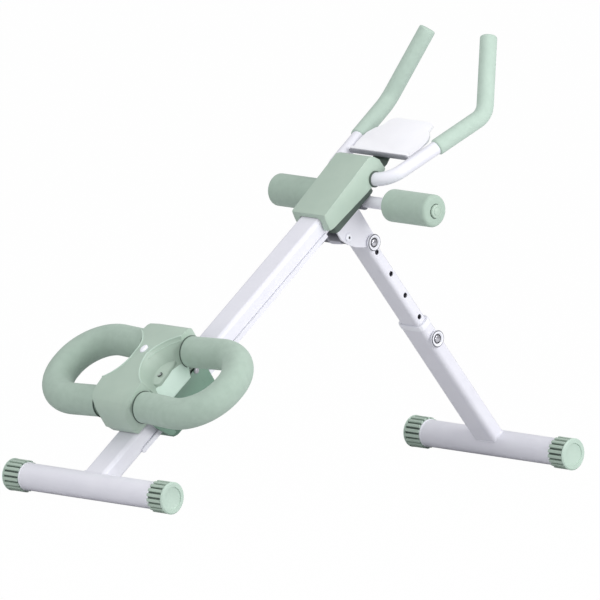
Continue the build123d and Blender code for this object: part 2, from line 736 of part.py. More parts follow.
def write_leg():
    write_ears()
    pivot = RAIL * Pos(0, PIVOT_S, PIVOT_P)
    write("pivot_bolt", pivot_bolt(), pivot)
    write("pivot_nut", pivot_nut(), pivot)
    write("pivot_knuckle", pivot_knuckle(), LEG)
    write("upper_leg_tube", upper_leg(), LEG)
    write("lower_leg_tube", lower_leg(), LEG)
    write("leg_bush", leg_bush(), LEG)
    ear_face = RAIL_W / 2 + EAR_T
    fold_spot = LEG * lock_spot(LOCK_DROP)
    height_spot = LEG * lock_spot(FIRST_HOLE + 4 * HOLE_STEP)
    write("fold_lock_collar", collar(ear_face), fold_spot)
    write("fold_lock_knob", pull_pin(ear_face), fold_spot)
    write("height_lock_collar", collar(OUTER_W / 2), height_spot)
    write("height_lock_knob", pull_pin(OUTER_W / 2), height_spot)


write_feet()
write_rail()
write_carriage()
write_seat()
write_head()
write_leg()
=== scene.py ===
import json
import math
import bmesh
import bpy
from mathutils import Matrix, Vector


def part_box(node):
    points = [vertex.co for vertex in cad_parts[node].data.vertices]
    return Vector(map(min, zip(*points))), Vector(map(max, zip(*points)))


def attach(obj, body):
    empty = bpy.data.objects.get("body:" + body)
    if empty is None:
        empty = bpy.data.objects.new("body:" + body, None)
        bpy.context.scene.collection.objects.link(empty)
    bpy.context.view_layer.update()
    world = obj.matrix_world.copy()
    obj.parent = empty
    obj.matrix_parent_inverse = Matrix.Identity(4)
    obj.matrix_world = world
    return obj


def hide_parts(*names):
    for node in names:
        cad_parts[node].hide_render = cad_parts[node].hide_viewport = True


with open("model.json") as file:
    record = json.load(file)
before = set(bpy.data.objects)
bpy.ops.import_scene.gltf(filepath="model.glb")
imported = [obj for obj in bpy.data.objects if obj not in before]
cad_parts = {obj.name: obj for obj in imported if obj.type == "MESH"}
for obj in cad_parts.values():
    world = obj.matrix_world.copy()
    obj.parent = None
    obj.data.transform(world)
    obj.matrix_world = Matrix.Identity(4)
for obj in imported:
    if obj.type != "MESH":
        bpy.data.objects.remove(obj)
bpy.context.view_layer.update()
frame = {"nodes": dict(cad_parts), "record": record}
joints = {joint["name"]: joint for joint in frame["record"]["behaviour"]["joints"]}
nodes = frame["nodes"]
MM = 0.001
ACROSS = Vector((1, 0, 0))
SIDES = (("right", 1), ("left", -1))

# Lengths in millimetres. A tube's section is its width, its depth and its corner radius.
RAIL_SECTION = (52, 38, 8)
LEG_SECTION = (60, 30, 10)
ARM = 75.0                   # from the middle of a knee loop to either arm, along the rail
HANDLE = (843, -4.5)         # where the handlebar crosses, along the rail and above its axis
HANDLE_BEND = 42             # radius of the handlebar's bends
HANDLE_TUBE = 12.7           # radius of the handlebar's tube
TIP = 1e-6                   # metres in from a sleeve's end, where its round wall begins
FAR_END = -1e-9              # the far end of a sleeve, counted back from it
MACHINE_MIDDLE = Vector((0, 0, 0.35))       # in metres


# ------------------------------------------------------------------ places

def middle(node):
    """Centre of a node's box, in metres."""
    low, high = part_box(node)
    return (Vector(low) + Vector(high)) / 2


rail_start = middle("front_foot_tube")
along_rail = Vector(joints["carriage_slide"]["axis"]).normalized()
above_rail = Vector(joints["seat_swivel"]["axis"]).normalized()
leg_pivot = Vector(joints["leg_fold"]["pos_m"])
up_leg = Vector(joints["leg_height"]["axis"]).normalized()
behind_leg = up_leg.cross(ACROSS)
foot_bar = middle("foot_bar")
loop_middle = middle("loop_tube_right")
loop_middle.x = 0


def on_rail(x, s, p):
    """Place given across the rail, along it and above its axis, in millimetres."""
    return rail_start + (ACROSS * x + along_rail * s + above_rail * p) * MM


def on_leg(x, n, u):
    """Place given across the leg, behind the pivot and up the leg, in millimetres."""
    return leg_pivot + (ACROSS * x + behind_leg * n + up_leg * u) * MM


# ------------------------------------------------------------------ materials

def linear(r, g, b):
    """Linear colour of a paint chip read as 0-255 screen values."""
    def one(v):
        v = v / 255
        return v / 12.92 if v <= 0.04045 else ((v + 0.055) / 1.055) ** 2.4
    return one(r), one(g), one(b)


def noise(tree, scale, detail=2.0, rough=0.5):
    """Noise over the piece's own coordinates."""
    coords = tree.nodes.new("ShaderNodeTexCoord")
    node = tree.nodes.new("ShaderNodeTexNoise")
    node.inputs["Scale"].default_value = scale
    node.inputs["Detail"].default_value = detail
    node.inputs["Roughness"].default_value = rough
    tree.links.new(coords.outputs["Object"], node.inputs["Vector"])
    return node.outputs["Fac"]


def colour_drift(tree, shader, fac, low, high):
    """Colour that drifts between two near tones."""
    ramp = tree.nodes.new("ShaderNodeValToRGB")
    ramp.color_ramp.elements[0].position = 0.3
    ramp.color_ramp.elements[1].position = 0.7
    ramp.color_ramp.elements[0].color = (*low, 1)
    ramp.color_ramp.elements[1].color = (*high, 1)
    tree.links.new(fac, ramp.inputs["Fac"])
    tree.links.new(ramp.outputs["Color"], shader.inputs["Base Color"])


def roughness_drift(tree, shader, fac, rough, swing):
    """Gloss that drifts either side of its mean."""
    span = tree.nodes.new("ShaderNodeMapRange")
    span.inputs["From Min"].default_value = 0.3
    span.inputs["From Max"].default_value = 0.7
    span.inputs["To Min"].default_value = rough - swing
    span.inputs["To Max"].default_value = rough + swing
    tree.links.new(fac, span.inputs["Value"])
    tree.links.new(span.outputs["Result"], shader.inputs["Roughness"])


def relief(tree, shader, heights):
    """Stacked bumps, each given as (height, strength, distance)."""
    below = None
    for fac, strength, distance in heights:
        node = tree.nodes.new("ShaderNodeBump")
        node.inputs["Strength"].default_value = strength
        node.inputs["Distance"].default_value = distance
        tree.links.new(fac, node.inputs["Height"])
        if below:
            tree.links.new(below.outputs["Normal"], node.inputs["Normal"])
        below = node
    tree.links.new(below.outputs["Normal"], shader.inputs["Normal"])


def finish(name, low, high, rough, swing=0.04, patch=40, waves=(), metal=0.0, coat=0.0, sheen=0.0,
           specular=0.5):
    """Finish with drifting colour and gloss, and a relief of (scale, strength, distance) waves."""
    material = bpy.data.materials.new(name)
    material.use_nodes = True
    tree = material.node_tree
    shader = tree.nodes["Principled BSDF"]
    shader.inputs["Metallic"].default_value = metal
    shader.inputs["Coat Weight"].default_value = coat
    shader.inputs["Coat Roughness"].default_value = 0.12
    shader.inputs["Sheen Weight"].default_value = sheen
    shader.inputs["Sheen Roughness"].default_value = 0.6
    shader.inputs["Specular IOR Level"].default_value = specular
    colour_drift(tree, shader, noise(tree, patch, 3.0, 0.55), linear(*low), linear(*high))
    roughness_drift(tree, shader, noise(tree, patch * 2.3, 2.0), rough, swing)
    relief(tree, shader, [(noise(tree, scale, 3.0, 0.6), strength, distance)
                          for scale, strength, distance in waves])
    return material


# Reliefs: the paint's skin, the grain of moulded plastic and the cells of foam.
PEEL = ((240, 0.03, 0.0001), (700, 0.01, 0.00005))
SPARK = ((1300, 0.16, 0.00015), (3200, 0.12, 0.00008))
CELLS = ((900, 0.3, 0.0004), (2600, 0.35, 0.0002))

enamel = finish("white_enamel", (225, 225, 233), (229, 229, 236), 0.4, 0.05, 22, PEEL, coat=0.05,
                specular=0.35)
shell_green = finish("green_shell", (171, 190, 176), (176, 194, 180), 0.4, 0.05, 26, SPARK)
# Darker green for the carriage: painted shade, as the carriage lies in shadow under the seat.
shaded_dark_green = finish("shaded_dark_green_shell", (104, 135, 118), (110, 141, 124), 0.42, 0.05, 26, SPARK)
grip_green = finish("grip_foam", (176, 195, 183), (182, 201, 189), 0.84, 0.05, 70, CELLS,
                    sheen=0.12, specular=0.25)
roll_green = finish("roll_foam", (163, 182, 169), (169, 188, 175), 0.85, 0.05, 70, CELLS,
                    sheen=0.12, specular=0.25)
# Pale green for the flank panel: painted light, standing for the light falling on its slope.
lit_panel_green = finish("lit_panel_green_shell", (214, 236, 223), (219, 240, 228), 0.38, 0.05, 26, SPARK)
shade_green = finish("shaded_green_shell", (74, 88, 80), (82, 96, 88), 0.5, 0.05, 26, SPARK)
# Dark grey for the stop lug and the bar saddle, and painted shade on the pivot knuckle and on the knobs'
# rims.
dark_grey_and_shade = finish("dark_grey_and_shade", (112, 113, 121), (122, 123, 131), 0.45, 0.05, 26, PEEL)
cap_green = finish("cap_green", (181, 201, 188), (187, 207, 194), 0.4, 0.05, 26, SPARK)
# Grey of the tray's soft lip, also used as painted shade for the thin lines beside the track strips.
grey_lip_and_shade = finish("grey_lip_and_shade_line", (142, 143, 150), (150, 151, 158), 0.6, 0.05, 60, SPARK)
tray_white = finish("tray_white", (249, 249, 253), (252, 252, 255), 0.36, 0.05, 30, SPARK)
foam_green = finish("green_foam", (162, 181, 168), (169, 188, 175), 0.86, 0.05, 70, CELLS,
                    sheen=0.12, specular=0.25)
white_shell = finish("white_shell", (236, 237, 244), (240, 241, 247), 0.35, 0.05, 30, SPARK)
zinc = finish("zinc_plate", (170, 170, 174), (188, 188, 192), 0.32, 0.08, 220,
              ((900, 0.1, 0.0001),), metal=1.0)
chrome = finish("chrome_plate", (208, 208, 214), (222, 222, 228), 0.14, 0.04, 120,
                ((1400, 0.04, 0.0001),), metal=1.0)
black_rubber = finish("black_rubber", (26, 26, 27), (34, 34, 35), 0.7, 0.06, 80,
                      ((900, 0.2, 0.0003),))
# Black for black plastic parts, and painted shade in the pivot's socket and in the knobs' dishes.
black_and_shade = finish("black_and_shade", (30, 31, 33), (36, 37, 39), 0.45, 0.05, 80, SPARK)

slot_finish = {
    "white_steel": enamel, "green_plastic": shell_green, "dark_green_plastic": shaded_dark_green,
    "white_plastic": white_shell, "green_foam": foam_green, "zinc": zinc,
    "black_rubber": black_rubber, "black_plastic": black_and_shade,
}


def dress_nodes():
    """Finish of every plain solid by its slot, with four that differ from their slot; the tray bracket
    and the pivot knuckle are darkened as painted shade.
    """
    for part in frame["record"]["subparts"]:
        for place in nodes[part["node"]].material_slots:
            place.material = slot_finish[part["material_slot"]]
    for node, material in (("tray_bracket", shade_green), ("pivot_knuckle", dark_grey_and_shade),
                           ("upper_stop_lug", dark_grey_and_shade), ("bar_saddle", dark_grey_and_shade)):
        for place in nodes[node].material_slots:
            place.material = material


# ------------------------------------------------------------------ building

def new_object(name, mesh, material):
    """Object in the scene, with its mesh in the one material given."""
    obj = bpy.data.objects.new(name, mesh)
    bpy.context.scene.collection.objects.link(obj)
    if material:
        mesh.materials.clear()
        mesh.materials.append(material)
    return obj


def smooth(mesh, crease):
    """Round the shading everywhere but at edges sharper than the crease angle."""
    mesh.polygons.foreach_set("use_smooth", [True] * len(mesh.polygons))
    mesh.set_sharp_from_angle(angle=math.radians(crease))


def settle(bm, name, material, crease=35):
    """Close the mesh, face it outwards and make it an object."""
    bmesh.ops.remove_doubles(bm, verts=bm.verts, dist=1e-6)
    bmesh.ops.recalc_face_normals(bm, faces=bm.faces)
    mesh = bpy.data.meshes.new(name)
    bm.to_mesh(mesh)
    bm.free()
    smooth(mesh, crease)
    return new_object(name, mesh, material)


def flatten_modifiers(obj, crease):
    """Turn the object and its modifiers into a plain mesh."""
    view = bpy.context.evaluated_depsgraph_get()
    view.update()
    mesh = bpy.data.meshes.new_from_object(obj.evaluated_get(view))
    obj.modifiers.clear()
    obj.data = mesh
    smooth(mesh, crease)
    return obj


def mount(obj, body, slot, *stands_for):
    """Fix a piece to its body, in place of the plain solids it stands for; the slot is not used."""
    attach(obj, body)
    if stands_for:
        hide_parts(*stands_for)


def eased(obj, width, segments=3, angle=30, crease=40, miter="MITER_SHARP"):
    """Round the edges sharper than the angle, and keep the result as a plain mesh."""
    bevel = obj.modifiers.new("ease", "BEVEL")
    bevel.width = width * MM
    bevel.segments = segments
    bevel.limit_method = "ANGLE"
    bevel.angle_limit = math.radians(angle)
    bevel.miter_outer = miter
    return flatten_modifiers(obj, crease)


def eased_copy(node, name, width, segments=3, angle=28, crease=40, reshape=None):
    """Copy of a moulded or formed part with its sharp edges eased."""
    bm = bmesh.new()
    bm.from_mesh(nodes[node].data)
    bmesh.ops.remove_doubles(bm, verts=bm.verts, dist=2e-5)
    bmesh.ops.dissolve_limit(bm, angle_limit=math.radians(1.0), verts=bm.verts, edges=bm.edges)
    if reshape:
        reshape(bm)
    mesh = bpy.data.meshes.new(name)
    bm.to_mesh(mesh)
    bm.free()
    obj = new_object(name, mesh, nodes[node].material_slots[0].material)
    return eased(obj, width, segments, angle, crease, "MITER_ARC")


def round_ring(bm, centre, u, v, radius, count):
    """Ring of vertices in metres, or the centre alone where the radius is nothing."""
    if radius < 1e-7:
        return [bm.verts.new(centre)]
    turns = [2 * math.pi * k / count for k in range(count)]
    return [bm.verts.new(centre + (u * math.cos(a) + v * math.sin(a)) * radius) for a in turns]


def skin(bm, rings, closed=False):
    """Faces from each ring to the next, and from the last to the first if closed."""
    for a, b in zip(rings, rings[1:] + (rings[:1] if closed else [])):
        for k in range(max(len(a), len(b))):
            corners = [a[k % len(a)], a[(k + 1) % len(a)], b[(k + 1) % len(b)], b[k % len(b)]]
            face = list(dict.fromkeys(corners))
            if len(face) > 2:
                bm.faces.new(face)


def capped_skin(bm, rings):
    """Skin over the rings, with a face across the first and the last."""
    bm.faces.new(rings[0])
    bm.faces.new(rings[-1])
    skin(bm, rings)


def turned(name, origin, axis, profile, material, segments=48):
    """Turned piece: profile of (along, radius) millimetres about an axis through origin."""
    axis = Vector(axis).normalized()
    u = axis.orthogonal().normalized()
    v = axis.cross(u)
    bm = bmesh.new()
    rings = [round_ring(bm, origin + axis * distance * MM, u, v, radius * MM, segments)
             for distance, radius in profile]
    hollow = len(rings[0]) > 1 and len(rings[-1]) > 1
    skin(bm, rings, hollow)
    return settle(bm, name, material, 32)


def rounded_run(corners, radii):
    """Points along straight runs joined by tangent arcs, about 4 apart, all in millimetres."""
    step = 4.0
    points = [Vector(corners[0])]
    for before, here, after, radius in zip(corners, corners[1:-1], corners[2:], radii):
        here = Vector(here)
        a = (Vector(before) - here).normalized()
        b = (Vector(after) - here).normalized()
        half = a.angle(b) / 2
        centre = here + (a + b).normalized() * (radius / math.sin(half))
        u = here + a * (radius / math.tan(half)) - centre
        v = here + b * (radius / math.tan(half)) - centre
        sweep = math.pi - 2 * half
        count = max(2, int(radius * sweep / step))
        for i in range(count + 1):
            t = i / count
            points.append(centre + (u * math.sin((1 - t) * sweep) + v * math.sin(t * sweep))
                          / math.sin(sweep))
    points.append(Vector(corners[-1]))
    full = [points[0]]
    for point in points[1:]:
        last, gap = full[-1], (point - full[-1]).length
        pieces = max(1, int(gap / step))
        if gap > 0.01:
            full += [last + (point - last) * i / pieces for i in range(1, pieces + 1)]
    return full


def sleeve(name, points, outside, inside, material, segments):
    """Round sleeve along a path in metres; each wall is a list of (distance, radius).

    A distance below zero counts back from the far end. With no inside the ends are closed.
    """
    steps = [0.0]
    for a, b in zip(points, points[1:]):
        steps.append(steps[-1] + (b - a).length)
    tangents = [(points[min(i + 1, len(points) - 1)] - points[max(i - 1, 0)]).normalized()
                for i in range(len(points))]
    side = tangents[0].orthogonal().normalized()
    turns = []
    for tangent in tangents:
        side = (side - tangent * side.dot(tangent)).normalized()
        turns.append((side, tangent.cross(side)))

    def ring(bm, distance, radius):
        i = min(max(j for j in range(len(steps)) if steps[j] <= distance + 1e-9), len(points) - 2)
        t = (distance - steps[i]) / (steps[i + 1] - steps[i])
        u, v = [before.lerp(after, t).normalized() for before, after in zip(turns[i], turns[i + 1])]
        return round_ring(bm, points[i].lerp(points[i + 1], t), u, v, radius, segments)

    def wall(marks):
        """The wall's marks, with one more at each path point of its long runs."""
        long_run, clear = 0.02, 1e-4
        marks = [(d if d >= 0 else steps[-1] + d, r) for d, r in marks]
        full = [marks[0]]
        for (d0, r0), (d1, r1) in zip(marks, marks[1:]):
            if abs(d1 - d0) > long_run:
                full += [(d, r0 + (r1 - r0) * (d - d0) / (d1 - d0)) for d in steps
                         if min(d0, d1) + clear < d < max(d0, d1) - clear]
            full.append((d1, r1))
        return full

    bm = bmesh.new()
    marks = wall(outside) + (list(reversed(wall(inside))) if inside else [])
    skin(bm, [ring(bm, d, r) for d, r in marks], bool(inside))
    return settle(bm, name, material, 50)


def both_ends(start):
    """Wall whose far end mirrors its start."""
    return start + [(-d, r) for d, r in reversed(start)]


def closed_off(wall):
    """Wall drawn in to the path at both ends."""
    return [(0, 0)] + wall + [(FAR_END, 0)]


def rounded_wall(radius, edge, steps=6):
    """Outer wall of a sleeve whose two ends are rounded over."""
    turns = [math.pi / 2 * i / steps for i in range(steps + 1)]
    return both_ends([(edge * (1 - math.cos(a)) + TIP, radius - edge + edge * math.sin(a))
                      for a in turns])


# ------------------------------------------------------------------ repeated small parts

def tree_with(name, sockets):
    """New tree for a mesh, with the given sockets, its input node and its output node."""
    tree = bpy.data.node_groups.new(name, "GeometryNodeTree")
    tree.interface.new_socket("Geometry", in_out="INPUT", socket_type="NodeSocketGeometry")
    for label, kind in sockets:
        tree.interface.new_socket(label, in_out="INPUT", socket_type=kind)
    tree.interface.new_socket("Geometry", in_out="OUTPUT", socket_type="NodeSocketGeometry")
    return tree, tree.nodes.new("NodeGroupInput"), tree.nodes.new("NodeGroupOutput")


def give_painted(tree, given, out, copies):
    """End a tree: its copies made real, in the given finish."""
    real = tree.nodes.new("GeometryNodeRealizeInstances")
    tree.links.new(copies, real.inputs["Geometry"])
    painted = tree.nodes.new("GeometryNodeSetMaterial")
    tree.links.new(real.outputs["Geometry"], painted.inputs["Geometry"])
    tree.links.new(given.outputs["Finish"], painted.inputs["Material"])
    tree.links.new(painted.outputs["Geometry"], out.inputs["Geometry"])


def run_tree(obj, tree, values):
    """Give the tree its named values, make its mesh and drop the modifier."""
    modifier = obj.modifiers.new(tree.name, "NODES")
    modifier.node_group = tree
    keys = {item.name: item.identifier for item in tree.interface.items_tree
            if item.item_type == "SOCKET" and item.in_out == "INPUT"}
    for label, value in values.items():
        modifier[keys[label]] = value
    return flatten_modifiers(obj, 35)


def rib_ring_tree():
    """Rounded bars set round a ring about X, each lying along X."""
    tree, given, out = tree_with("rib_ring", (
        ("Ribs", "NodeSocketInt"), ("Ring Radius", "NodeSocketFloat"), ("Length", "NodeSocketFloat"),
        ("Width", "NodeSocketFloat"), ("Height", "NodeSocketFloat"), ("Edge", "NodeSocketFloat"),
        ("Place", "NodeSocketVector"), ("Finish", "NodeSocketMaterial")))
    new, link = tree.nodes.new, tree.links.new
    ring = new("GeometryNodeMeshCircle")
    link(given.outputs["Ribs"], ring.inputs["Vertices"])
    link(given.outputs["Ring Radius"], ring.inputs["Radius"])
    bar = new("GeometryNodeCurvePrimitiveLine")
    bar.mode = "DIRECTION"
    bar.inputs["Direction"].default_value = (0, 0, 1)
    link(given.outputs["Length"], bar.inputs["Length"])
    section = new("GeometryNodeCurvePrimitiveQuadrilateral")
    link(given.outputs["Width"], section.inputs["Width"])
    link(given.outputs["Height"], section.inputs["Height"])
    soft = new("GeometryNodeFilletCurve")
    soft.mode = "POLY"
    soft.inputs["Count"].default_value = 3
    link(section.outputs["Curve"], soft.inputs["Curve"])
    link(given.outputs["Edge"], soft.inputs["Radius"])
    rib = new("GeometryNodeCurveToMesh")
    rib.inputs["Fill Caps"].default_value = True
    link(bar.outputs["Curve"], rib.inputs["Curve"])
    link(soft.outputs["Curve"], rib.inputs["Profile Curve"])
    facing = new("FunctionNodeAlignRotationToVector")
    facing.axis = "X"
    facing.pivot_axis = "Z"
    spot = new("GeometryNodeInputPosition")
    link(spot.outputs["Position"], facing.inputs["Vector"])
    copies = new("GeometryNodeInstanceOnPoints")
    link(ring.outputs["Mesh"], copies.inputs["Points"])
    link(rib.outputs["Mesh"], copies.inputs["Instance"])
    link(facing.outputs["Rotation"], copies.inputs["Rotation"])
    moved = new("GeometryNodeTransform")
    moved.inputs["Rotation"].default_value = (0, math.pi / 2, 0)
    link(copies.outputs["Instances"], moved.inputs["Geometry"])
    link(given.outputs["Place"], moved.inputs["Translation"])
    give_painted(tree, given, out, moved.outputs["Geometry"])
    return tree


def head_set_tree():
    """One pattern head copied to every given place."""
    tree, given, out = tree_with("head_set", (
        ("Head", "NodeSocketObject"), ("Finish", "NodeSocketMaterial")))
    new, link = tree.nodes.new, tree.links.new
    pattern = new("GeometryNodeObjectInfo")
    link(given.outputs["Head"], pattern.inputs["Object"])
    copies = new("GeometryNodeInstanceOnPoints")
    link(given.outputs["Geometry"], copies.inputs["Points"])
    link(pattern.outputs["Geometry"], copies.inputs["Instance"])
    give_painted(tree, given, out, copies.outputs["Instances"])
    return tree


rib_ring = rib_ring_tree()
head_set = head_set_tree()


def heads(name, pattern, places, material):
    """Copies of a turned pattern head, made once and then removed."""
    mesh = bpy.data.meshes.new(name)
    mesh.from_pydata([tuple(place) for place in places], [], [])
    obj = run_tree(new_object(name, mesh, None), head_set, {"Head": pattern, "Finish": material})
    bpy.data.objects.remove(pattern)
    return obj


# ------------------------------------------------------------------ feet

def foot_caps():
    """Push-on caps: ribbed band, end disc with a chamfer and a shallow round recess; the band's core is
    painted shade between the ribs, and a white ring at the mouth is a painted highlight.
    """
    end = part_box("front_foot_cap_right")[1][0] / MM
    core = [(end - 38.6, 0), (end - 38.6, 25.2), (end - 38.6, 25.7), (end - 38, 25.9), (end - 4.0, 25.9),
            (end - 4.0, 0)]
    disc = [(end - 4.4, 0), (end - 4.4, 28.7), (end - 4.0, 29.5), (end - 2.2, 29.6), (end - 0.4, 27.8),
            (end, 27.2), (end, 21.0), (end - 0.4, 20.5), (end - 1.7, 20.2), (end - 2.0, 19.4),
            (end - 2.0, 0)]
    light_and_shade_ring = [(end - 42.5, 25.05), (end - 42.5, 25.5), (end - 41.8, 26.0), (end - 39.4, 26.1),
            (end - 38.5, 25.7), (end - 38.5, 25.05)]
    inner, rib_length = end - 38.8, 34.0
    for row, body in (("front", "frame"), ("rear", "lower_leg")):
        hub = middle(row + "_foot_tube")
        for word, sign in SIDES:
            # The band's core in the shaded green: painted shade in the grooves between the ribs.
            band = turned(row + "_cap_" + word, hub, ACROSS * sign, core, shade_green, 90)
            mount(band, body, "green_plastic", row + "_foot_cap_" + word)
            face = turned(row + "_cap_face_" + word, hub, ACROSS * sign, disc, cap_green, 90)
            mount(face, body, "green_plastic")
            # White ring at the cap's mouth: a painted highlight.
            ring = turned(row + "_cap_seal_" + word, hub, ACROSS * sign, light_and_shade_ring, white_shell, 72)
            mount(ring, body, "white_plastic")
            start = inner if sign > 0 else -inner - rib_length
            blank = new_object(row + "_cap_ribs_" + word, bpy.data.meshes.new("ribs"), None)
            ribs = run_tree(blank, rib_ring, {
                "Ribs": 18, "Ring Radius": 27.1 * MM, "Length": rib_length * MM, "Width": 4.2 * MM,
                "Height": 6.0 * MM, "Edge": 1.1 * MM,
                "Place": hub + ACROSS * start * MM, "Finish": shell_green})
            mount(ribs, body, "green_plastic")


def track_seams():
    """Thin grey line, painted shade, where each track strip meets the rail's side."""
    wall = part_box("track_strip_right")[0][0] / MM
    shade_section = [(wall - 0.1, -10.1), (wall + 0.6, -10.1), (wall - 0.1, -9.4)]
    for word, sign in SIDES:
        bm = bmesh.new()
        capped_skin(bm, [[bm.verts.new(on_rail(sign * x, s, p)) for x, p in shade_section] for s in (119, 699)])
        mount(settle(bm, "track_seam_" + word, grey_lip_and_shade), "frame", "black_rubber")


def weld_bead(name, places, body):
    """Painted fillet weld along a closed line, with a slight swell."""
    radius, swell, turns = 1.7, 0.12, 1.9
    bm = bmesh.new()
    rings = []
    for i, here in enumerate(places):
        tangent = (places[(i + 1) % len(places)] - places[i - 1]).normalized()
        u = (ACROSS.cross(tangent) if abs(tangent.x) < 0.9 else behind_leg.cross(tangent)).normalized()
        size = radius * (1 + swell * math.sin(i * turns)) * MM
        rings.append(round_ring(bm, here, u, tangent.cross(u), size, 8))
    skin(bm, rings, True)
    mount(settle(bm, name, enamel, 80), body, "white_steel")


def tube_outline(width, depth, radius):
    """Points round a rounded rectangle, in millimetres and at most about 3 apart."""
    steps, gap = 8, 3
    points = []
    for quarter, (x, y) in enumerate(((1, 1), (-1, 1), (-1, -1), (1, -1))):
        for i in range(steps + 1):
            a = math.pi / 2 * (quarter + i / steps)
            points.append((x * (width / 2 - radius) + radius * math.cos(a),
                           y * (depth / 2 - radius) + radius * math.sin(a)))
    full = []
    for (x0, y0), (x1, y1) in zip(points, points[1:] + points[:1]):
        pieces = max(1, int(math.hypot(x1 - x0, y1 - y0) / gap))
        full += [(x0 + (x1 - x0) * i / pieces, y0 + (y1 - y0) * i / pieces) for i in range(pieces)]
    return full


def foot_welds():
    """Beads where the rail and the leg are coped onto the foot tubes."""
    low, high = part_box("front_foot_tube")
    tube_r = (high[2] - low[2]) / 2 / MM
    rail = [on_rail(x, math.sqrt(tube_r ** 2 - p ** 2), p) for x, p in tube_outline(*RAIL_SECTION)]
    weld_bead("front_weld", rail, "frame")
    foot = middle("rear_foot_tube") - leg_pivot
    centre_n, centre_u = foot.dot(behind_leg) / MM, foot.dot(up_leg) / MM
    leg = [on_leg(x, centre_n + n, centre_u + math.sqrt(tube_r ** 2 - n ** 2))
           for x, n in tube_outline(*LEG_SECTION)]
    weld_bead("rear_weld", leg, "lower_leg")


# ------------------------------------------------------------------ foam pieces

def both_sides(build, name, body, node):
    """One foam piece for each side, standing for the plain solid of that side."""
    for word, sign in SIDES:
        piece = build(name + "_" + word, sign)
        mount(piece, body.format(word), "green_foam", node + "_" + word)


def knee_loop(name, sign):
    """Padded loop round one knee, from the housing out and back."""
    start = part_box("knee_foam_right")[0][0] / MM
    near, far, flare = 60, 206.0, 9
    pad, edge, bore = 28.75 * MM, 3.5 * MM, 12.7 * MM
    corners = [(start, ARM, 0), (near, ARM, 0), (far, ARM + flare, 0), (far, -ARM - flare, 0),
               (near, -ARM, 0), (start, -ARM, 0)]
    run = rounded_run(corners, (60, 76, 76, 60))
    points = [loop_middle + (ACROSS * sign * p.x + along_rail * p.y) * MM for p in run]
    return sleeve(name, points, rounded_wall(pad, edge), both_ends([(TIP, bore)]), foam_green, 72)


def foot_roll(name, sign):
    """Foam roll for one foot, with its bore stepped at the outer end."""
    (start, *_), (end, *_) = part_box("roll_foam_right")
    steps = 24
    run = [foot_bar + ACROSS * sign * (start + (end - start) * i / steps) for i in range(steps + 1)]
    wall = rounded_wall(30 * MM, 7.5 * MM, 8)
    bore = [(TIP, 14 * MM), (-0.0025, 14 * MM), (-0.0005, 12.8 * MM), (-TIP, 12.8 * MM)]
    return sleeve(name, run, wall, bore, roll_green, 80)


def handle_corners(sign, beyond=0.0):
    """Corners of one side of the handlebar: where it turns up, its bend and its end."""
    corner, bend, tip = Vector((75.5, *HANDLE)), Vector((124, 1070, -39.8)), Vector((79, 1192, 31.7))
    end = tip + (tip - bend).normalized() * beyond
    return [Vector((sign * p.x, p.y, p.z)) for p in (corner, bend, end)]


def hand_grip(name, sign):
    """Foam grip over the upper half of one side of the handlebar, closed at its end."""
    corner, bend, end = handle_corners(sign, 4.8)
    points = [on_rail(*p) for p in rounded_run([corner.lerp(bend, 0.5), bend, end], (HANDLE_BEND,))]
    return sleeve(name, points, closed_off(rounded_wall(15.8 * MM, 4 * MM)), None, grip_green, 56)


def add_foam():
    """Knee pads, foot rolls and hand grips."""
    both_sides(knee_loop, "knee_pad", "seat", "knee_foam")
    both_sides(foot_roll, "foot_roll", "roller_{}", "roll_foam")
    both_sides(hand_grip, "hand_grip", "frame", "grip_foam")


# ------------------------------------------------------------------ head

def handle_tube():
    """Bent round tube from grip to grip, through the rail."""
    right = handle_corners(1)
    corners = [Vector((-p.x, p.y, p.z)) for p in reversed(right)] + right
    points = [on_rail(*p) for p in rounded_run(corners, (HANDLE_BEND,) * 4)]
    wall = closed_off(both_ends([(TIP, 12.2 * MM), (0.0005, HANDLE_TUBE * MM)]))
    tube = sleeve("handle_tube", points, wall, None, enamel, 56)
    mount(tube, "frame", "white_steel", "handlebar")


def roll_plugs():
    """Round-headed plug with a pressed groove at each end of the foot bar."""
    start, end = [corner[0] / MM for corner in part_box("bar_plug_right")]
    profile = [(start, 0), (start, 9), (end - 6.5, 9), (end - 6.5, 12.6), (end - 2.4, 12.6),
               (end - 1.4, 11.9), (end - 1.0, 10.6), (end - 0.8, 8.9), (end - 1.3, 8.6),
               (end - 1.3, 7.6), (end - 0.7, 7.3), (end - 0.1, 5), (end, 0)]
    for word, sign in SIDES:
        plug = turned("roll_plug_" + word, foot_bar, ACROSS * sign, profile, shell_green)
        mount(plug, "frame", "green_plastic", "bar_plug_" + word)


def head_shells():
    """Head cover with its skirt and seals, both dark as painted shade, and the tray with its edge strip.
    """
    cover = eased_copy("head_cover", "cover_shell", 3.2, 5, 24)
    mount(cover, "frame", "green_plastic", "head_cover")
    base = eased_copy("cover_base", "cover_skirt", 0.8, 2)
    # The skirt takes the shaded green: painted shade under the cover's edge.
    base.data.materials[0] = shade_green
    mount(base, "frame", "dark_green_plastic", "cover_base")
    tray = eased_copy("phone_tray", "device_tray", 1.0, 3)
    tray.data.materials[0] = tray_white
    mount(tray, "frame", "white_plastic", "phone_tray")
    tray_edge()
    handle_seals()


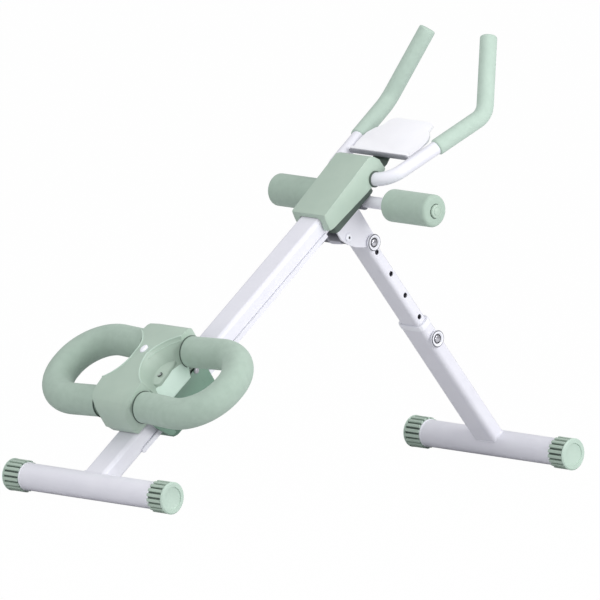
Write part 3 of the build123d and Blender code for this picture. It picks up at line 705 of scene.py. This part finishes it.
def tray_edge():
    """Soft grey strip along the tray's lower edge, rounded at both ends."""
    tilt = math.radians(-6.2)
    out, up = Vector((0, math.cos(tilt), math.sin(tilt))), Vector((0, -math.sin(tilt), math.cos(tilt)))
    home, core = Vector((0, 909, -7.5)), -1.4
    outline = [(0.4, -4.4), (0.4, 3.6), (-0.4, 4.6), (-2.2, 4.8), (-3.4, 3.6), (-3.6, -2.4),
               (-2.4, -4.4)]
    tip = [(72.5, 0.86), (73.6, 0.6), (74.2, 0.25)]
    sections = [(-x, size) for x, size in reversed(tip)] + [(x, 1.0) for x in range(-70, 71, 10)] + tip
    bm = bmesh.new()
    capped_skin(bm, [
        [bm.verts.new(on_rail(*(home + Vector((x, 0, 0)) + out * (core + (y - core) * size)
                                + up * z * size))) for y, z in outline]
        for x, size in sections])
    mount(settle(bm, "tray_edge", grey_lip_and_shade, 50), "frame", "black_rubber")


def handle_seals():
    """Rubber rings where the handlebar leaves the cover, dark as painted shade of the gap round the bar.
    """
    profile = [(39, 12.8), (39, 15.4), (45.2, 15.2), (46.2, 14.2), (46.2, 12.8)]
    for word, sign in SIDES:
        light_and_shade_ring = turned("handle_seal_" + word, on_rail(0, *HANDLE), ACROSS * sign, profile, shade_green)
        mount(light_and_shade_ring, "frame", "black_rubber")


# ------------------------------------------------------------------ carriage and seat

def carriage_shell():
    """Carriage with its edges eased, in the darker green of painted shade."""
    shell = eased_copy("carriage_chassis", "carriage_shell", 1.2, 3)
    mount(shell, "carriage", "dark_green_plastic", "carriage_chassis")


def carriage_apron():
    """Lower front of the carriage, sloping back under the rail on both sides, in the darker green of
    painted shade.
    """
    side_line = [(150, 20), (154, 8), (160, -4), (171, -24), (178, -31), (187, -32), (187, 20)]
    for word, sign in SIDES:
        bm = bmesh.new()
        capped_skin(bm, [[bm.verts.new(on_rail(sign * x, s, p)) for s, p in side_line]
                         for x in (45.0, 41.0)])
        plate = eased(settle(bm, "carriage_apron_" + word, shaded_dark_green, 30), 1.0)
        mount(plate, "carriage", "dark_green_plastic")


def axle_rivets():
    """Domed rivet heads over the ends of the four roller pins."""
    places = [middle("axle_" + row + end) for row in ("under_", "top_") for end in ("lower", "upper")]
    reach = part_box("axle_top_upper")[1][0] / MM
    profile = [(reach - 2.2, 0), (reach - 2.2, 6.2), (reach - 1.6, 6.4), (reach - 0.6, 5.6),
               (reach, 3.6), (reach + 0.15, 0)]
    for word, sign in SIDES:
        head = turned("pattern", Vector((0, 0, 0)), ACROSS * sign, profile, zinc, 32)
        mount(heads("axle_rivets_" + word, head, places, zinc), "carriage", "zinc")


def rounded_rows(bm, line, reach, flat, place, signs):
    """Turn the corners of an extruded outline into curves.

    Rows are cut beside each corner, and their points are then drawn in, less and less with their
    distance from the outline. flat gives a point's two outline coordinates, place the way back to
    a point, and signs the sides that have the outline.
    """
    rows, near, fade = 5, 0.4, 12
    origin = on_rail(0, 0, 0)

    def spot(v):
        return Vector(flat((v.co - origin) / MM))

    corners = []
    for before, corner, after in zip(line, line[1:], line[2:]):
        corner = Vector(corner)
        corners.append((corner, *((Vector(end) - corner).normalized() for end in (before, after))))
    for corner, *ways in corners:
        for way in ways:
            off = Vector((-way.y, way.x))
            for k in range(1, rows + 1):
                faces = [f for f in bm.faces
                         if all(abs((spot(v) - corner).dot(off)) < near for v in f.verts)]
                edges = set(e for f in faces for e in f.edges)
                verts = set(v for f in faces for v in f.verts)
                for sign in signs:
                    bmesh.ops.bisect_plane(
                        bm, geom=faces + list(edges) + list(verts), dist=1e-6,
                        plane_co=on_rail(*place(corner + way * reach * k / rows, sign)),
                        plane_no=on_rail(*place(way, sign)) - origin)
    for v in bm.verts:
        here = spot(v)
        for corner, back, on in corners:
            w = here - corner
            way, side = (on, 1) if w.dot(on) > w.dot(back) else (back, -1)
            u = w.dot(way)
            if 0 <= u < reach:
                t = (1 + side * u / reach) / 2
                curve = back * reach * (1 - t) ** 2 + on * reach * t ** 2
                shift = (curve - way * u) * max(0, 1 - (w - way * u).length / fade)
                v.co += on_rail(*place(shift, 1 if v.co.x >= 0 else -1)) - origin
                break


def blunt_front(bm):
    """Round nose of the seat, seen from the side and from above."""
    profile = [(114, 39), (112, 68), (120, 92), (140, 103), (190, 109)]
    plan = [(31, 110), (44, 121), (50, 136), (50, 171)]
    rounded_rows(bm, profile, 11, lambda e: (e.dot(along_rail), e.dot(above_rail)),
                 lambda q, sign: (0, q[0], q[1]), (1,))
    rounded_rows(bm, plan, 7.5, lambda e: (abs(e.x), e.dot(along_rail)),
                 lambda q, sign: (sign * q[0], q[1], 0), (1, -1))


def seat_shell():
    """Seat housing with its edges eased, and the trim on its two flanks, which holds a panel painted
    light and rings of painted shade at the arms.
    """
    shell = eased_copy("seat_housing", "seat_shell", 2.6, 4, 20, 50, blunt_front)
    mount(shell, "seat", "green_plastic", "seat_housing")
    for word, sign in SIDES:
        flank_lips(word, sign)
        flank_panel(word, sign)
        flank_boss(word, sign)
        arm_seals(word, sign)


RIDGE = [(140, 103), (190, 109), (235, 113.5), (280, 109), (318, 104)]    # spine's top: along, height
DISH_X, DISH_S, DISH_R = 93.0, 233.0, 78.0      # the dished flank's centre, and its radius at the top
DISH_TOP, DISH_TAPER = 113.5, 0.28
RAMP = ((25.0, 78.0), (61.0, 39.0))             # the lower flank's two edges: across, height


def dish_edge(s, drop):
    """Point on the dished flank, the given depth below the spine's ridge line."""
    for (s0, p0), (s1, p1) in zip(RIDGE, RIDGE[1:]):
        if s0 <= s <= s1:
            p = p0 + (p1 - p0) * (s - s0) / (s1 - s0) - drop
    reach = DISH_R - DISH_TAPER * (DISH_TOP - p)
    return DISH_X - math.sqrt(max(reach ** 2 - (s - DISH_S) ** 2, 0)), p


def flank_lips(word, sign):
    """Rounded rim along the spine's ridge and a second, finer one below it."""
    steps = 40
    for name, first, last, drop, radius in (("ridge_rim", 170, 297, 0.2, 1.5),
                                            ("inner_rim", 231, 292, 9, 0.9)):
        points = []
        for i in range(steps + 1):
            s = first + (last - first) * i / steps
            x, p = dish_edge(s, drop)
            points.append(on_rail(sign * (x + 0.2), s, p))
        wall = closed_off(both_ends([(TIP, radius * 0.4 * MM), (radius * MM, radius * MM)]))
        rim = sleeve(name + "_" + word, points, wall, None, cap_green, 14)
        mount(rim, "seat", "green_plastic")


def plate_on_ramp(name, outline, top, sink, material, ease):
    """Plate over the flat lower flank: outline in (x, s), its top given by a height rule."""
    bm = bmesh.new()
    capped_skin(bm, [[bm.verts.new(on_rail(x, s, top(abs(x)) - depth)) for x, s in outline]
                     for depth in (0, sink)])
    return eased(settle(bm, name, material, 30), ease, 3, 40, 45)


def ramp_height(x):
    """Height of the flat lower flank at a distance across from the middle."""
    (x0, p0), (x1, p1) = RAMP
    return p0 - (x - x0) * (p0 - p1) / (x1 - x0)


def flank_panel(word, sign):
    """Flat panel on the lower flank, between the two arms, in a pale green that is painted light for its
    lit slope.
    """
    outline = [(37, 181), (61.6, 177), (61.6, 262), (49, 281), (42, 268), (39.5, 250), (41, 226),
               (39.5, 206)]
    panel = plate_on_ramp("flank_panel_" + word, [(sign * x, s) for x, s in outline],
                          lambda x: ramp_height(x) + 1.2, 3.0, lit_panel_green, 0.7)
    mount(panel, "seat", "green_plastic")


def flank_boss(word, sign):
    """Long drop-shaped boss above the panel, with its screw."""
    centre, radius, steps = 31.5, 10.5, 12
    turns = [math.pi * i / steps for i in range(steps + 1)]
    outline = [(centre - radius * math.cos(a), 212 - radius * math.sin(a)) for a in turns]
    outline += [(40.5, 240), (38.8, 262), (36.6, 274), (33.6, 276), (27, 262), (22.5, 240)]
    boss = plate_on_ramp("flank_boss_" + word, [(sign * x, s) for x, s in outline],
                         lambda x: 73.5 - 0.65 * (x - centre), 14.0, shell_green, 1.6)
    mount(boss, "seat", "green_plastic")
    screw = on_rail(sign * centre, 226, 73.2)
    well = turned("boss_screw_" + word, screw, above_rail, [
        (-1, 0), (-1, 4.6), (0.9, 4.6), (1.3, 4.0), (0.5, 3.6), (0.2, 1.6), (-0.4, 1.4), (-0.4, 0)],
        zinc, 32)
    mount(well, "seat", "zinc")
    # Dark ring round the screw: painted shade in its well.
    shade = turned("boss_screw_well_" + word, screw, above_rail, [
        (-1, 4.7), (-1, 6.0), (0.25, 6.0), (0.25, 4.7)], shade_green, 32)
    mount(shade, "seat", "black_plastic")


def arm_seals(word, sign):
    """Dark ring where each foam arm enters the housing: painted shade for the gap round the arm."""
    profile = [(49.2, 27.8), (49.2, 29.15), (50.2, 29.15), (50.2, 29.9), (51.2, 29.9), (51.7, 29.4),
               (51.7, 27.8)]
    for end, way in (("front", -1), ("rear", 1)):
        arm = loop_middle + along_rail * way * ARM * MM
        light_and_shade_ring = turned("arm_seal_" + end + "_" + word, arm, ACROSS * sign, profile, shade_green, 64)
        mount(light_and_shade_ring, "seat", "black_rubber")


def swivel_cap():
    """Domed oval button on the spine."""
    centre, half_width, half_length, steps = 246, 6.2, 9.5, 48
    turns = [2 * math.pi * k / steps for k in range(steps)]
    bm = bmesh.new()
    capped_skin(bm, [
        [bm.verts.new(on_rail(half_width * size * math.cos(a),
                              centre + half_length * size * math.sin(a), p)) for a in turns]
        for p, size in ((98, 1.0), (113.6, 1.0), (115.0, 0.96), (115.9, 0.82), (116.3, 0.5))])
    mount(settle(bm, "swivel_cap", white_shell, 60), "button", "white_plastic", "swivel_button")


# ------------------------------------------------------------------ locks

def lock_knob(name, node, body):
    """Dished pull knob on its pin; a black ring in its dish and a grey band on its rim are painted
    shade.
    """
    low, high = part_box(node)
    centre = Vector((0, (low[1] + high[1]) / 2, (low[2] + high[2]) / 2))
    base = high[0] / MM - 6
    knob = turned(name, centre, ACROSS, [
        (base, 0), (base, 13.0), (base + 0.6, 14.6), (base + 1.6, 15.8), (base + 3.4, 16.0),
        (base + 4.6, 15.4), (base + 5.6, 14.0), (base + 6, 12.6), (base + 5.8, 11.0), (base + 4.4, 9.6),
        (base + 3.4, 8.6), (base + 3.2, 0)], white_shell, 64)
    mount(knob, body, "white_plastic", node)
    ring = turned(name + "_ring", centre, ACROSS, [
        (base + 3.0, 8.8), (base + 3.0, 6.9), (base + 4.1, 6.9), (base + 4.1, 8.8)], black_and_shade, 40)
    mount(ring, body, "black_plastic")
    rim = turned(name + "_rim", centre, ACROSS, [
        (base + 4.4, 15.0), (base + 4.4, 15.7), (base + 5.0, 15.5), (base + 5.7, 14.6),
        (base + 5.7, 13.9), (base + 5.2, 13.9)], dark_grey_and_shade, 64)
    mount(rim, body, "black_plastic")
    pin = turned(name + "_pin", centre, ACROSS, [
        (base - 3, 0), (base - 3, 4.6), (base + 4.6, 6.4), (base + 5.6, 5.8), (base + 6, 4.0),
        (base + 6.1, 0)], chrome, 40)
    mount(pin, body, "zinc")


def pivot_head():
    """Low domed bolt head with a socket, on the fold pivot; the socket is a black disc, painted shade.
    """
    low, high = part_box("pivot_bolt")
    centre = Vector((0, leg_pivot.y, leg_pivot.z))
    start, end = low[0] / MM, high[0] / MM
    bolt = turned("pivot_head", centre, ACROSS, [
        (start, 0), (start, 4.6), (start + 0.5, 5.0), (end - 4, 5.0), (end - 4, 8.0), (end - 2.6, 8.0),
        (end - 1.2, 7.2), (end - 0.2, 5.2), (end, 3.2), (end - 0.1, 2.7), (end - 0.4, 2.6),
        (end - 0.4, 0)], white_shell)
    mount(bolt, "frame", "zinc", "pivot_bolt")
    socket = turned("pivot_socket", centre, ACROSS, [
        (end - 1, 0), (end - 1, 2.6), (end - 0.25, 2.6), (end - 0.25, 0)], black_and_shade, 6)
    mount(socket, "frame", "black_plastic")


def locks():
    """Pivot bolt, the two pull knobs and the leg's plastic bush."""
    pivot_head()
    lock_knob("fold_knob", "fold_lock_knob", "fold_lock")
    lock_knob("height_knob", "height_lock_knob", "height_lock")
    bush = eased_copy("leg_bush", "leg_guide", 0.8)
    mount(bush, "lower_leg", "white_plastic", "leg_bush")


# ------------------------------------------------------------------ studio

def seen_apart(tree, plain, seen, share, output):
    """Show the camera the seen shader, by the given share, and light the scene by the plain one."""
    rays = tree.nodes.new("ShaderNodeLightPath")
    part = tree.nodes.new("ShaderNodeMath")
    part.operation = "MULTIPLY"
    part.inputs[1].default_value = share
    mix = tree.nodes.new("ShaderNodeMixShader")
    tree.links.new(rays.outputs["Is Camera Ray"], part.inputs[0])
    tree.links.new(part.outputs[0], mix.inputs["Fac"])
    tree.links.new(plain.outputs[0], mix.inputs[1])
    tree.links.new(seen.outputs[0], mix.inputs[2])
    tree.links.new(mix.outputs[0], tree.nodes[output].inputs["Surface"])


def studio_floor():
    """Pale floor that the camera sees as white, apart from a trace of shadow."""
    bpy.ops.mesh.primitive_plane_add(size=120, location=(0, 0, 0))
    floor = bpy.context.object
    floor.name = "studio_floor"
    material = bpy.data.materials.new("pale_floor")
    material.use_nodes = True
    tree = material.node_tree
    shader = tree.nodes["Principled BSDF"]
    shader.inputs["Base Color"].default_value = (0.62, 0.62, 0.63, 1)
    shader.inputs["Roughness"].default_value = 0.9
    glow = tree.nodes.new("ShaderNodeEmission")
    glow.inputs["Strength"].default_value = 1.0
    seen_apart(tree, shader, glow, 0.99, "Material Output")
    floor.data.materials.append(material)


def studio_world():
    """Soft cool light from all round, behind a white background."""
    world = bpy.data.worlds.new("studio")
    world.use_nodes = True
    bpy.context.scene.world = world
    tree = world.node_tree
    sky = tree.nodes["Background"]
    sky.inputs["Color"].default_value = (0.97, 0.97, 1.0, 1)
    sky.inputs["Strength"].default_value = 0.52
    seen = tree.nodes.new("ShaderNodeBackground")
    seen.inputs["Color"].default_value = (1, 1, 1, 1)
    seen.inputs["Strength"].default_value = 1.0
    seen_apart(tree, sky, seen, 1.0, "World Output")


def soft_lamp(name, place, size, watts):
    """Rectangular lamp that faces the middle of the machine."""
    data = bpy.data.lights.new(name, "AREA")
    data.shape = "RECTANGLE"
    data.size, data.size_y = size
    data.energy = watts
    lamp = bpy.data.objects.new(name, data)
    lamp.location = place
    lamp.rotation_euler = (MACHINE_MIDDLE - lamp.location).to_track_quat("-Z", "Y").to_euler()
    bpy.context.scene.collection.objects.link(lamp)


def studio_lamps():
    """Large lamp at the right, and weaker ones in front and above."""
    soft_lamp("side_lamp", (3.15, 0.75, 1.5), (2.4, 2.0), 82)
    soft_lamp("front_lamp", (0.6, -3.4, 1.0), (2.4, 1.6), 26)
    soft_lamp("top_lamp", (0.1, -0.9, 3.2), (2.5, 2.5), 30)


def camera():
    """Long lens from the front right, a little above the machine."""
    turn, tilt, roll = [math.radians(angle) for angle in (44.5, 7.09, 1.28)]
    right_of_foot, above_foot = 0.37445, 0.33636        # to the middle of the view, in metres
    distance = 50
    back = Vector((math.sin(turn) * math.cos(tilt), -math.cos(turn) * math.cos(tilt), math.sin(tilt)))
    level = Vector((math.cos(turn), math.sin(turn), 0))
    right = level * math.cos(roll) + back.cross(level) * math.sin(roll)
    up = back.cross(right)
    centre = rail_start + right * right_of_foot + up * above_foot
    centre -= back * (centre - MACHINE_MIDDLE).dot(back)
    data = bpy.data.cameras.new("camera")
    data.sensor_width = 36
    data.lens = 1650
    data.clip_start, data.clip_end = 1, 200
    eye = bpy.data.objects.new("camera", data)
    axes = Matrix((right, up, back)).transposed().to_4x4()
    eye.matrix_world = Matrix.Translation(centre + back * distance) @ axes
    bpy.context.scene.collection.objects.link(eye)
    bpy.context.scene.camera = eye


bpy.context.scene.view_settings.view_transform = "Standard"
camera()
studio_floor()
studio_world()
studio_lamps()
dress_nodes()
add_foam()
foot_caps()
foot_welds()
track_seams()
handle_tube()
roll_plugs()
head_shells()
carriage_shell()
axle_rivets()
carriage_apron()
seat_shell()
swivel_cap()
locks()
